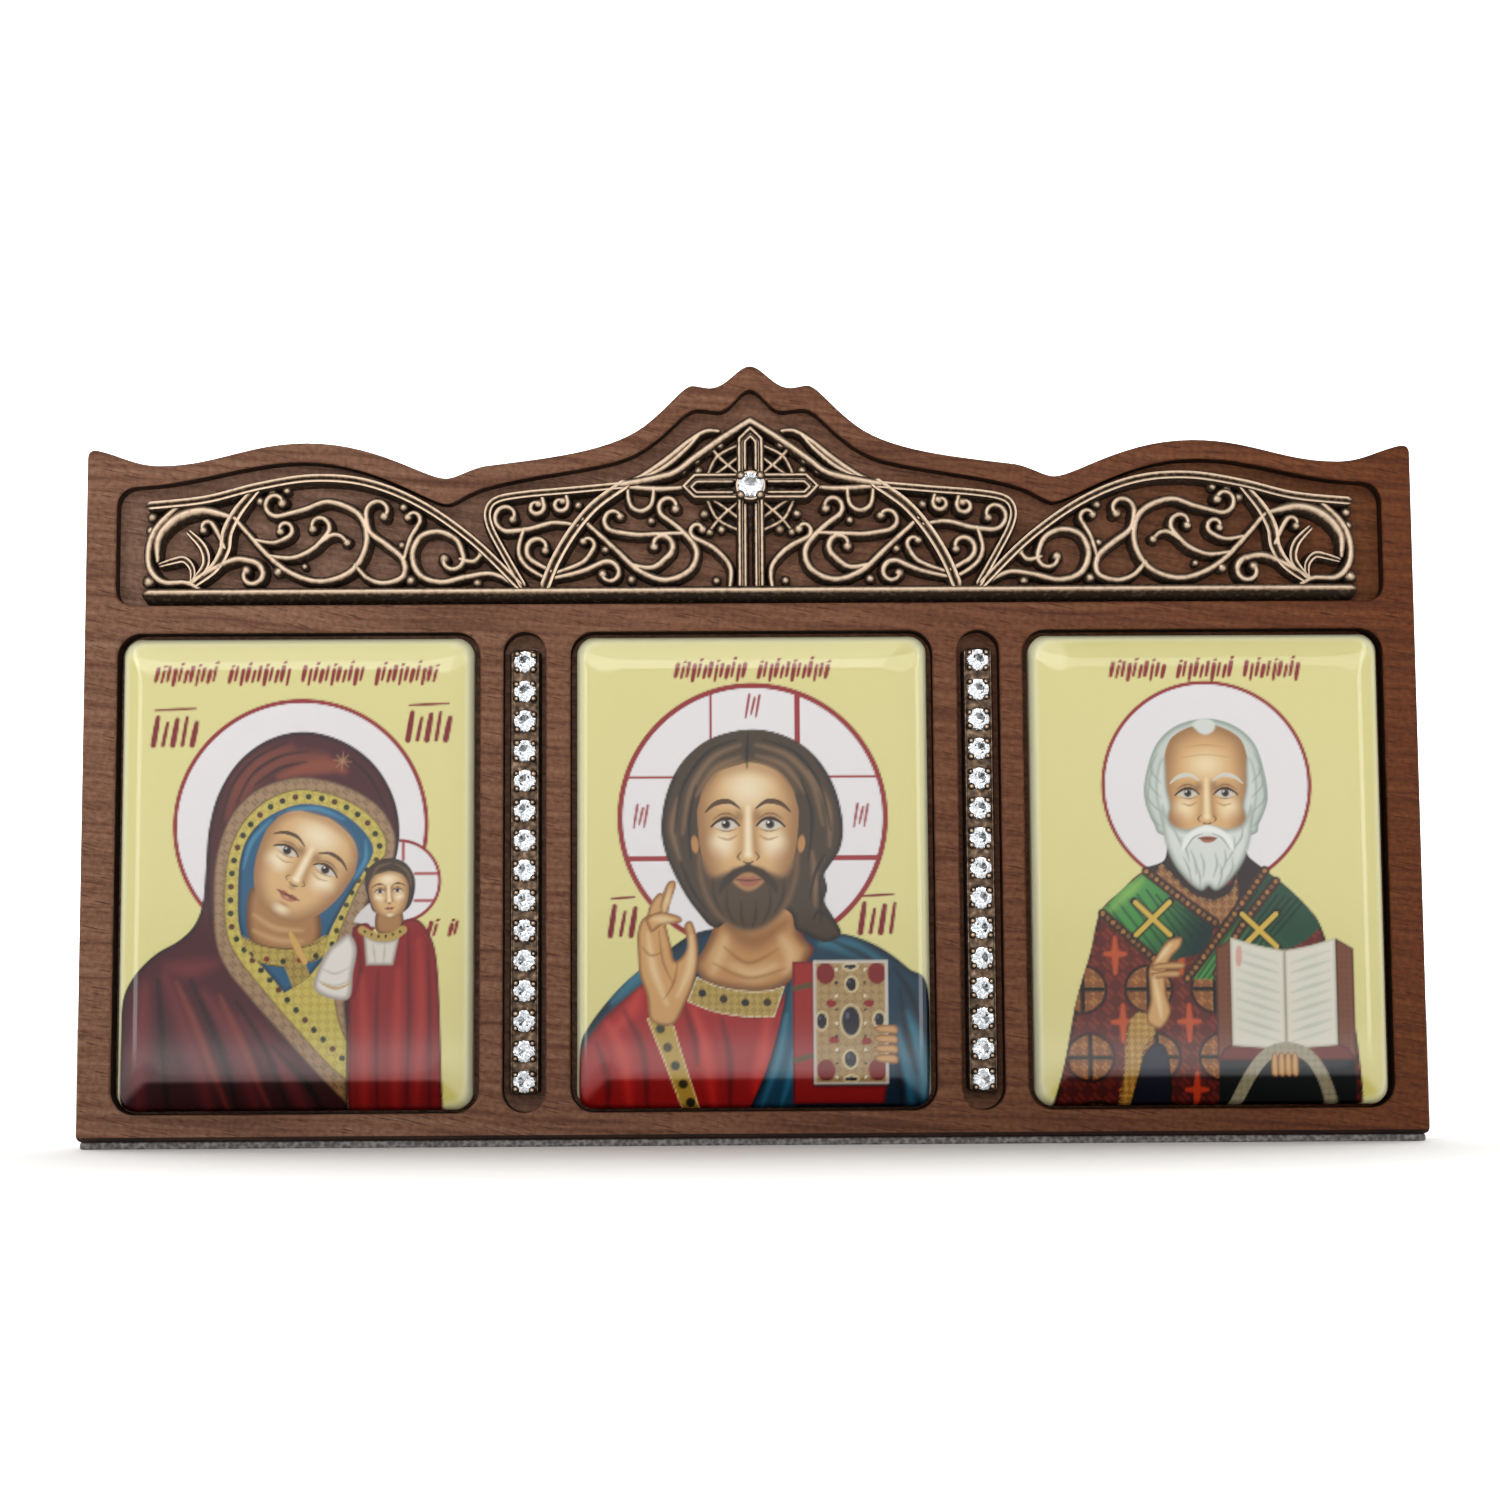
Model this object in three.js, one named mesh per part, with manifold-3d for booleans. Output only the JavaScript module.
// A small wooden triptych icon that stands on its lower edge: a scroll-topped board with three domed
// enamel plaques, a cast openwork crest with a cross, and two strips of clear stones between the plaques.
// Millimetres, +Z up, +X to the viewer's right, front towards -Y, origin in the middle of the underside.
import * as THREE from "three";
import { mergeVertices } from "three/addons/utils/BufferGeometryUtils.js";
import Module from "manifold-3d";

const wasm = await Module();
wasm.setup();

// Board
const boardWidth = 100;
const boardPeak = 58.6;
const boardThickness = 8;
const boardEdge = 0.4; // rounding of the front and back edges
const stripHeight = 0.6; // soft strip under the board
const stripInset = 0.5;
const glue = 0.3; // bed of glue between a piece and what carries it
const boardFoot = stripHeight + glue;
const front = boardThickness / 2;

// Plaques
const plaqueWidth = 26.2;
const plaqueHeight = 35.1;
const plaqueMiddle = 20.4; // height of the plaques' centres
const plaqueSpacing = 33.9;
const plaqueCorner = 1.7;
const plaqueProud = 0.8; // crown of the dome above the wood
const plaqueShoulder = 2.35; // width of the sloping border
const recessGap = 0.55;
const recessDepth = 2;

// Stone strips
const slotWidth = 3.2;
const slotHeight = 35.8;
const slotX = 17;
const slotDepth = 2;
const barWidth = 2.2;
const barHeight = 33.2;
const barThickness = 1.2;
const stoneCount = 15;
const stonePitch = 2.234;
const stoneRadius = 0.86;
const crossStoneRadius = 1.02;

// Crest
const crestDepth = 1.6;
const crestSide = 47.7;
const crestFoot = 40.4;
const crestCorner = 1.5;
const ribHeight = 1.15;
const bandHeight = 1.35;
const crossHeight = 1.6;
const railTop = 41.75;
const railFoot = 40.7;
const railEnd = 45.75;
const crossCentre = 49.3;

const curveSteps = 4; // chords in each curve of an outline
const cornerSteps = 2; // pairs of chords in each rounded corner
const spanSteps = 8; // fine steps between two points of a rib
const curlStep = 12; // degrees in each fine step of a curl
const ribBend = THREE.MathUtils.degToRad(45); // most that a rib turns from chord to chord
const ribSag = 0.1; // most that a chord cuts a corner

function solidOf(geometry) {
  const bare = geometry.clone();
  bare.deleteAttribute("normal");
  bare.deleteAttribute("uv");
  const merged = mergeVertices(bare, 1e-4);
  return new wasm.Manifold(new wasm.Mesh({
    numProp: 3,
    vertProperties: new Float32Array(merged.attributes.position.array),
    triVerts: new Uint32Array(merged.index.array),
  }));
}

function geometryOf(solid) {
  const { vertProperties, triVerts } = solid.getMesh();
  const geometry = new THREE.BufferGeometry();
  geometry.setAttribute("position", new THREE.BufferAttribute(new Float32Array(vertProperties), 3));
  geometry.setIndex(new THREE.BufferAttribute(new Uint32Array(triVerts), 1));
  geometry.computeVertexNormals();
  return geometry;
}

function prism(shape, from, to) {
  const geometry = new THREE.ExtrudeGeometry(shape, {
    depth: to - from,
    bevelEnabled: false,
    curveSegments: cornerSteps,
  });
  return geometry.translate(0, 0, from);
}

function roundedRect(width, height, radius) {
  const x = width / 2 - radius;
  const y = height / 2 - radius;
  const shape = new THREE.Shape();
  shape.absarc(x, -y, radius, -Math.PI / 2, 0);
  shape.absarc(x, y, radius, 0, Math.PI / 2);
  shape.absarc(-x, y, radius, Math.PI / 2, Math.PI);
  shape.absarc(-x, -y, radius, Math.PI, Math.PI * 1.5);
  return shape;
}

// The half runs from the middle of the top, down the right side, to the middle of the bottom.
function mirroredShape(half) {
  const right = half.getPoints(curveSteps);
  const left = right.slice(1, -1).reverse().map((p) => new THREE.Vector2(-p.x, p.y));
  return new THREE.Shape([...right, ...left]);
}

// Outline of the board: a peak, a tooth, a long shoulder, a notch, a hump and an ear.
function boardOutline() {
  const side = boardWidth / 2;
  const half = new THREE.Path();
  half.moveTo(0, boardPeak);
  half.bezierCurveTo(0.95, boardPeak, 1.75, 56.92, 3.05, 56.92);
  half.bezierCurveTo(3.5, 56.92, 3.95, 57.1, 4.35, 57.1);
  half.bezierCurveTo(5.1, 57.1, 6, 55.6, 8, 54.03);
  half.bezierCurveTo(10.6, 52.05, 15.2, 51.6, 20, 51);
  half.bezierCurveTo(21.2, 50.8, 22.2, 50.05, 23, 50.05);
  half.bezierCurveTo(24.6, 50.05, 28.2, 52.8, 33.5, 52.8);
  half.bezierCurveTo(38, 52.8, 40.3, 51.1, 44.5, 51.1);
  half.bezierCurveTo(46.4, 51.1, 47.4, 51.85, side - 0.9, 52.25);
  half.quadraticCurveTo(side, 52.5, side, 51.6);
  half.lineTo(side, boardFoot);
  half.lineTo(0, boardFoot);
  return mirroredShape(half);
}

// Outline of the sunk field behind the crest, which follows the board's top.
function crestOutline() {
  const half = new THREE.Path();
  half.moveTo(0, 56.75);
  half.bezierCurveTo(0.8, 56.75, 1.4, 55.1, 2.4, 55.1);
  half.bezierCurveTo(2.9, 55.1, 3.4, 55.25, 4, 55.25);
  half.bezierCurveTo(5.3, 55.25, 6.6, 52.3, 10, 51.3);
  half.bezierCurveTo(12.4, 50.6, 17.2, 50.15, 20, 49.3);
  half.bezierCurveTo(21.4, 48.9, 22.3, 48.05, 22.9, 48.05);
  half.bezierCurveTo(24.3, 48.05, 28.4, 51.3, 33.8, 51.3);
  half.bezierCurveTo(38, 51.3, 41.5, 49.7, crestSide - 1.9, 49.5);
  half.quadraticCurveTo(crestSide, 49.5, crestSide, 47.8);
  half.lineTo(crestSide, crestFoot + crestCorner);
  half.quadraticCurveTo(crestSide, crestFoot, crestSide - crestCorner, crestFoot);
  half.lineTo(0, crestFoot);
  return mirroredShape(half);
}

function boardGeometry() {
  const blank = new THREE.ExtrudeGeometry(boardOutline(), {
    depth: boardThickness - 2 * boardEdge,
    bevelThickness: boardEdge,
    bevelSize: boardEdge,
    bevelOffset: -boardEdge,
    bevelSegments: 1,
  });
  blank.translate(0, 0, boardEdge - front);
  const above = front + 1;
  const plaqueHole = roundedRect(
    plaqueWidth + 2 * recessGap,
    plaqueHeight + 2 * recessGap,
    plaqueCorner + recessGap,
  );
  const slotHole = roundedRect(slotWidth, slotHeight, slotWidth / 2);
  let board = solidOf(blank).subtract(solidOf(prism(crestOutline(), front - crestDepth, above)));
  for (const x of [-plaqueSpacing, 0, plaqueSpacing]) {
    const hole = prism(plaqueHole, front - recessDepth, above).translate(x, plaqueMiddle, 0);
    board = board.subtract(solidOf(hole));
  }
  for (const x of [-slotX, slotX]) {
    const hole = prism(slotHole, front - slotDepth, above).translate(x, plaqueMiddle, 0);
    board = board.subtract(solidOf(hole));
  }
  return geometryOf(board);
}

// A closed skin over rings of equal length, with a flat cap at each end.
function loftGeometry(rings) {
  const count = rings[0].length;
  const points = rings.flat();
  const index = [];
  for (let r = 0; r + 1 < rings.length; r += 1) {
    for (let i = 0; i < count; i += 1) {
      const a = r * count + i;
      const b = r * count + ((i + 1) % count);
      index.push(a, b, b + count, a, b + count, a + count);
    }
  }
  const top = (rings.length - 1) * count;
  for (let i = 1; i + 1 < count; i += 1) {
    index.push(0, i + 1, i, top, top + i, top + i + 1);
  }
  const geometry = new THREE.BufferGeometry().setFromPoints(points);
  geometry.setIndex(index);
  geometry.computeVertexNormals();
  return geometry;
}

// Each step is [distance in from the edge, height below the crown], from the back face to the flat top.
function plaqueGeometry() {
  const crown = front + plaqueProud;
  const back = front - recessDepth + glue;
  const steps = [
    [0, crown - back],
    [0, 1.2],
    [0.12, 0.95],
    [0.4, 0.72],
    [plaqueShoulder - 0.3, 0.08],
    [plaqueShoulder, 0],
  ];
  const rings = steps.map(([inset, drop]) => {
    const radius = Math.max(plaqueCorner - inset, 0.35);
    const ring = roundedRect(plaqueWidth - 2 * inset, plaqueHeight - 2 * inset, radius);
    return ring.getPoints(cornerSteps).map((p) => new THREE.Vector3(p.x, p.y, crown - drop));
  });
  return loftGeometry(rings);
}

// A brilliant cut with its table up, the girdle at height 0.
const crownRise = 0.32;
const pavilionDrop = 0.86;
const tableShare = 0.58;
const girdleLift = 0.24; // height of the girdle above the setting, as a share of the radius
const seatShare = 0.86;
const seatDepth = 0.85;
const stoneSides = 8;
const seatSides = 6;

function stoneGeometry(radius) {
  const profile = [
    new THREE.Vector2(0, -pavilionDrop * radius),
    new THREE.Vector2(radius, 0),
    new THREE.Vector2(tableShare * radius, crownRise * radius),
    new THREE.Vector2(0, crownRise * radius),
  ];
  return new THREE.LatheGeometry(profile, stoneSides);
}

function seatSolid(radius, x, y, surface) {
  const depth = seatDepth * radius;
  const seat = new THREE.CylinderGeometry(seatShare * radius, seatShare * radius, 2 * depth, seatSides);
  return solidOf(seat.rotateX(Math.PI / 2).translate(x, y, surface));
}

const barTop = front - slotDepth + glue + barThickness;
const stoneHeights = Array.from(
  { length: stoneCount },
  (_, i) => plaqueMiddle + (i - (stoneCount - 1) / 2) * stonePitch,
);

function barGeometry() {
  const outline = roundedRect(barWidth, barHeight, 0.5);
  let bar = solidOf(prism(outline, barTop - barThickness, barTop).translate(0, plaqueMiddle, 0));
  for (const y of stoneHeights) {
    bar = bar.subtract(seatSolid(stoneRadius, 0, y, barTop));
  }
  return geometryOf(bar);
}

// Ribs of the crest's right half. A line runs through its points, and a curl goes on from its end:
// [first radius, last radius, degrees turned, left turns counted up].
const wingRibs = [
  { width: 0.8, band: true, line: [[17.3, 41.6], [21, 45.3], [25, 48.1], [29, 49.7], [33, 50.05],
    [37, 49.45], [41, 48.45], [45.2, 48]] },
  { width: 0.5, line: [[38.9, 47.1], [36.2, 44.1], [34.3, 42.75], [32.2, 42.25], [30, 43.1],
    [28.95, 45.2], [29.5, 47.3], [31.7, 48.3], [33.6, 47.75], [35.4, 47.25]], curl: [1, 0.45, 290] },
  { width: 0.45, line: [[36.3, 44.2], [34.5, 44.05], [33, 44.7], [31.95, 45.8]], curl: [0.85, 0.5, -250] },
  { width: 0.4, line: [[32.5, 45.1], [31.6, 45.75], [30.9, 45.7], [30.4, 45.2]] },
  { width: 0.4, line: [[37.3, 45.4], [35.9, 45.2], [34.9, 45.6]], curl: [0.65, 0.35, -280] },
  { width: 0.5, line: [[29.8, 43.5], [28.9, 42.5], [27.6, 42.1], [26.2, 42.6], [26.2, 43.9], [27.4, 45],
    [28.7, 46], [29, 47.2]], curl: [1.05, 0.45, 250] },
  { width: 0.5, line: [[17.4, 41.7], [19.4, 42.75], [21.4, 42.55], [23.3, 42.15], [24.9, 42.7],
    [25.5, 44.2], [24.9, 45.6], [23.5, 46], [22.2, 45.4], [21.7, 44.3]], curl: [0.95, 0.55, 220] },
  { width: 0.4, line: [[21.9, 43.9], [20.9, 43.7], [20.3, 44.3]] },
  { width: 0.4, line: [[26.2, 43.6], [25.7, 45.4], [25, 46.6]], curl: [0.6, 0.4, -200] },
  { width: 0.9, line: [[37.2, 49.3], [38.6, 47.6], [39.4, 46], [39.6, 44.6], [40.4, 43.2], [41.9, 42]] },
  { width: 0.5, line: [[42.2, 42.2], [40.5, 43.2], [38.8, 43.95], [37.5, 43.8]], curl: [1, 0.5, 310] },
  { width: 0.8, line: [[39.2, 47.2], [41.4, 47.7], [43.3, 47.1], [44.6, 45.6], [44.6, 43.8]] },
  { width: 0.5, line: [[42.8, 48.3], [44.6, 46.6], [45.3, 45], [45.2, 43.3], [44.2, 42.25], [42.5, 42.2],
    [41.5, 41.7]] },
  { width: 0.6, line: [[41.9, 42.3], [41, 43.5], [41.2, 44.8], [42.3, 46]] },
  { width: 0.5, line: [[42, 42.2], [42, 43.2], [42.6, 43.9], [43.4, 43.8], [44.4, 43.5]] },
  { width: 0.4, line: [[39.6, 44.8], [40.15, 46], [40.5, 46.6]], curl: [0.5, 0.35, -190] },
];
const fanRibs = [
  { width: 0.75, band: true, line: [[17.1, 41.6], [18.5, 44.1], [19.6, 46.2], [19.8, 47.5], [19.1, 48.35],
    [17, 48.75], [13.5, 49.05], [9.7, 49.4]] },
  { width: 0.45, line: [[13, 46.4], [14.8, 46.65], [16.6, 46.2], [18.1, 46]], curl: [1.15, 0.45, 320] },
  { width: 0.4, line: [[17, 48.7], [16.7, 48]], curl: [0.55, 0.35, -220] },
  { width: 0.4, line: [[14.9, 48.9], [14.7, 48.3]], curl: [0.5, 0.3, -220] },
  { width: 0.4, line: [[15.5, 42.4], [17, 43.4], [17.5, 44.6], [17.1, 46.2]] },
  { width: 0.45, line: [[15, 42.9], [16.4, 43.7]], curl: [1.05, 0.5, 270] },
];
const archRibs = [
  { width: 1, band: true, line: [[15.6, 41.4], [14.7, 43.7], [13.4, 45.9], [11.7, 47.9], [9.5, 49.5]] },
  { width: 0.45, line: [[10, 49.4], [8.2, 50.2], [6.3, 51.5], [4.7, 52.8], [3.4, 53.6], [2.4, 53.6]] },
  { width: 0.4, line: [[8.8, 49.7], [6.6, 50.8], [5, 52.1], [3.9, 53.3]] },
  { width: 0.55, band: true, line: [[-0.2, 54.5], [2.2, 53], [4.3, 51.5], [5.6, 50.5], [7, 50.05],
    [9.8, 49.5]] },
  { width: 0.45, line: [[4.8, 49.3], [7, 49.2], [9.8, 49.4]] },
  { width: 0.5, line: [[12.7, 46.9], [10.2, 44.6], [8.4, 42.95], [6.4, 42.25], [4.6, 43], [4.1, 44.5],
    [5.2, 46], [6.6, 47.1]], curl: [0.85, 0.5, 260] },
  { width: 0.5, line: [[9, 43.4], [7.4, 43.2], [6.2, 44.1]], curl: [0.95, 0.55, -250] },
  { width: 0.45, line: [[1.6, 41.6], [1.55, 43.2], [2.7, 44.6], [4.2, 45.4]], curl: [0.65, 0.35, 240] },
  { width: 0.45, line: [[5, 45.8], [7, 45.75], [8.6, 45.7], [10.3, 45.95]], curl: [0.95, 0.45, 250] },
  { width: 0.4, line: [[9.3, 49.4], [9.1, 48], [8.3, 47.5], [7.5, 48], [7.3, 49.3]] },
  { width: 0.45, line: [[14.9, 42.4], [12.8, 42.9], [11.2, 43.6]], curl: [0.95, 0.45, 300] },
  { width: 0.4, line: [[14.7, 42.8], [12.7, 43.6], [11.9, 44.6]], curl: [0.6, 0.35, -190] },
];
const ribs = [...wingRibs, ...fanRibs, ...archRibs];

// Strapwork in the four corners of the cross: [distance out along the arm, distance up] for each strap.
const straps = [
  [[0.8, 3.3], [2.5, 2.4], [3.3, 0.8]],
  [[0.7, 0.9], [2.2, 2.2], [3.1, 3.3]],
  [[0.8, 2.4], [2.4, 1.2], [3.2, 0.7]],
];
const strapWidth = 0.4;

// Which points of a fine line to keep, so that no chord strays from it or turns too far.
function keptPoints(points) {
  const kept = [0];
  const headingAt = (i) => points[i + 1].clone().sub(points[i]);
  for (let to = 2; to < points.length; to += 1) {
    const from = kept.at(-1);
    const chord = points[to].clone().sub(points[from]);
    const strays = points.slice(from + 1, to).some((p) => {
      const offset = Math.abs(chord.cross(p.clone().sub(points[from]))) / chord.length();
      return offset > ribSag;
    });
    if (strays || headingAt(from).angleTo(headingAt(to - 1)) > ribBend) {
      kept.push(to - 1);
    }
  }
  return [...kept, points.length - 1];
}

function centreLine({ line, curl }) {
  const spline = new THREE.SplineCurve(line.map(([x, y]) => new THREE.Vector2(x, y)));
  const points = spline.getPoints((line.length - 1) * spanSteps);
  if (!curl) {
    return points;
  }
  const [firstRadius, lastRadius, sweep] = curl;
  const steps = Math.ceil(Math.abs(sweep) / curlStep);
  const turn = THREE.MathUtils.degToRad(sweep) / steps;
  const at = points.at(-1).clone();
  const heading = spline.getTangent(1).angle();
  for (let i = 0; i < steps; i += 1) {
    const radius = THREE.MathUtils.lerp(firstRadius, lastRadius, (i + 0.5) / steps);
    const chord = 2 * radius * Math.sin(Math.abs(turn) / 2);
    const direction = heading + (i + 0.5) * turn;
    at.add(new THREE.Vector2(Math.cos(direction), Math.sin(direction)).multiplyScalar(chord));
    points.push(at.clone());
  }
  return points;
}

// A flat ribbon of even width along a centre line, mirrored to the left where side is -1.
function ribbonShape(points, width, side) {
  const kept = keptPoints(points);
  const edge = (hand) => kept.map((i) => {
    const before = points[Math.max(i - 1, 0)];
    const after = points[Math.min(i + 1, points.length - 1)];
    const along = after.clone().sub(before).normalize();
    return new THREE.Vector2(
      side * (points[i].x - (hand * along.y * width) / 2),
      points[i].y + (hand * along.x * width) / 2,
    );
  });
  return new THREE.Shape([...edge(1), ...edge(-1).reverse()]);
}

const crestBase = front - crestDepth + glue;

// A pointed bar of the cross, drawn along x from its centre.
function armShape(length, point, half) {
  return new THREE.Shape([
    new THREE.Vector2(-half, -half),
    new THREE.Vector2(length - point, -half),
    new THREE.Vector2(length, 0),
    new THREE.Vector2(length - point, half),
    new THREE.Vector2(-half, half),
  ]);
}

const armHalf = 1;
const grooveHalf = 0.42; // half width of the sunk line along each bar
const grooveDepth = 0.6;
const grooveStart = 1.7; // from the middle of the cross
const grooveMargin = 0.75; // left whole at the tip
const crossTop = crestBase + crossHeight;
const crossArms = [
  { turn: 0, length: 5.2, point: 1 },
  { turn: 90, length: 4.6, point: 0.9 },
  { turn: 180, length: 5.2, point: 1 },
  { turn: 270, length: crossCentre - railFoot - 0.3, point: 0.3 },
];

function crossSolid() {
  const arms = [];
  const cuts = [seatSolid(crossStoneRadius, 0, crossCentre, crossTop)];
  for (const { turn, length, point } of crossArms) {
    const swing = (geometry) => solidOf(
      geometry.rotateZ(THREE.MathUtils.degToRad(turn)).translate(0, crossCentre, 0),
    );
    arms.push(swing(prism(armShape(length, point, armHalf), crestBase, crossTop)));
    const groove = armShape(length - grooveStart - grooveMargin, point / 2, grooveHalf);
    cuts.push(swing(prism(groove, crossTop - grooveDepth, front + 1).translate(grooveStart, 0, 0)));
  }
  return wasm.Manifold.union(arms).subtract(wasm.Manifold.union(cuts));
}

function filigreeGeometry() {
  const railShape = new THREE.Shape([
    new THREE.Vector2(-railEnd, railFoot),
    new THREE.Vector2(railEnd, railFoot),
    new THREE.Vector2(railEnd, railTop),
    new THREE.Vector2(-railEnd, railTop),
  ]);
  const solids = [solidOf(prism(railShape, crestBase, crestBase + bandHeight))];
  for (const side of [1, -1]) {
    for (const rib of ribs) {
      const shape = ribbonShape(centreLine(rib), rib.width, side);
      solids.push(solidOf(prism(shape, crestBase, crestBase + (rib.band ? bandHeight : ribHeight))));
    }
    for (const up of [1, -1]) {
      for (const strap of straps) {
        const line = strap.map(([x, y]) => new THREE.Vector2(x, crossCentre + up * y));
        solids.push(solidOf(prism(ribbonShape(line, strapWidth, side), crestBase, crestBase + ribHeight)));
      }
    }
  }
  return geometryOf(wasm.Manifold.union(solids).add(crossSolid()));
}

// Finishes
const wood = { color: 0x6f4630, roughness: 0.5, metalness: 0 };
const silver = { color: 0xb9a188, roughness: 0.35, metalness: 1 };
const enamel = { color: 0xe3dc9a, roughness: 0.1, metalness: 0 };
const clear = { color: 0xf4f6f8, roughness: 0.02, metalness: 0 };
const foam = { color: 0x9a9a98, roughness: 0.9, metalness: 0 };

const icon = new THREE.Group();
icon.rotation.x = Math.PI / 2; // drawn lying on its back, then stood up

function place(name, geometry, finish, x = 0, y = 0, z = 0) {
  const mesh = new THREE.Mesh(geometry, new THREE.MeshStandardMaterial(finish));
  mesh.name = name;
  mesh.position.set(x, y, z);
  icon.add(mesh);
  return mesh;
}

place("frame_board", boardGeometry(), wood);

const stripLength = boardWidth - 2 * stripInset;
const stripDepth = boardThickness - 2 * stripInset;
const strip = new THREE.BoxGeometry(stripLength, stripHeight, stripDepth);
place("base_strip", strip, foam, 0, stripHeight / 2, 0);

for (const [name, x] of [["left", -plaqueSpacing], ["centre", 0], ["right", plaqueSpacing]]) {
  place(`plaque_${name}`, plaqueGeometry(), enamel, x, plaqueMiddle);
}

place("filigree", filigreeGeometry(), silver);

function placeStone(name, radius, x, y, surface) {
  const stone = place(name, stoneGeometry(radius), clear, x, y, surface + girdleLift * radius);
  stone.rotation.x = Math.PI / 2;
}

placeStone("stone_cross", crossStoneRadius, 0, crossCentre, crossTop);

for (const [side, x] of [["left", -slotX], ["right", slotX]]) {
  place(`stone_bar_${side}`, barGeometry(), silver, x);
  stoneHeights.forEach((y, i) => {
    placeStone(`stone_${side}_${String(i + 1).padStart(2, "0")}`, stoneRadius, x, y, barTop);
  });
}

export default icon;
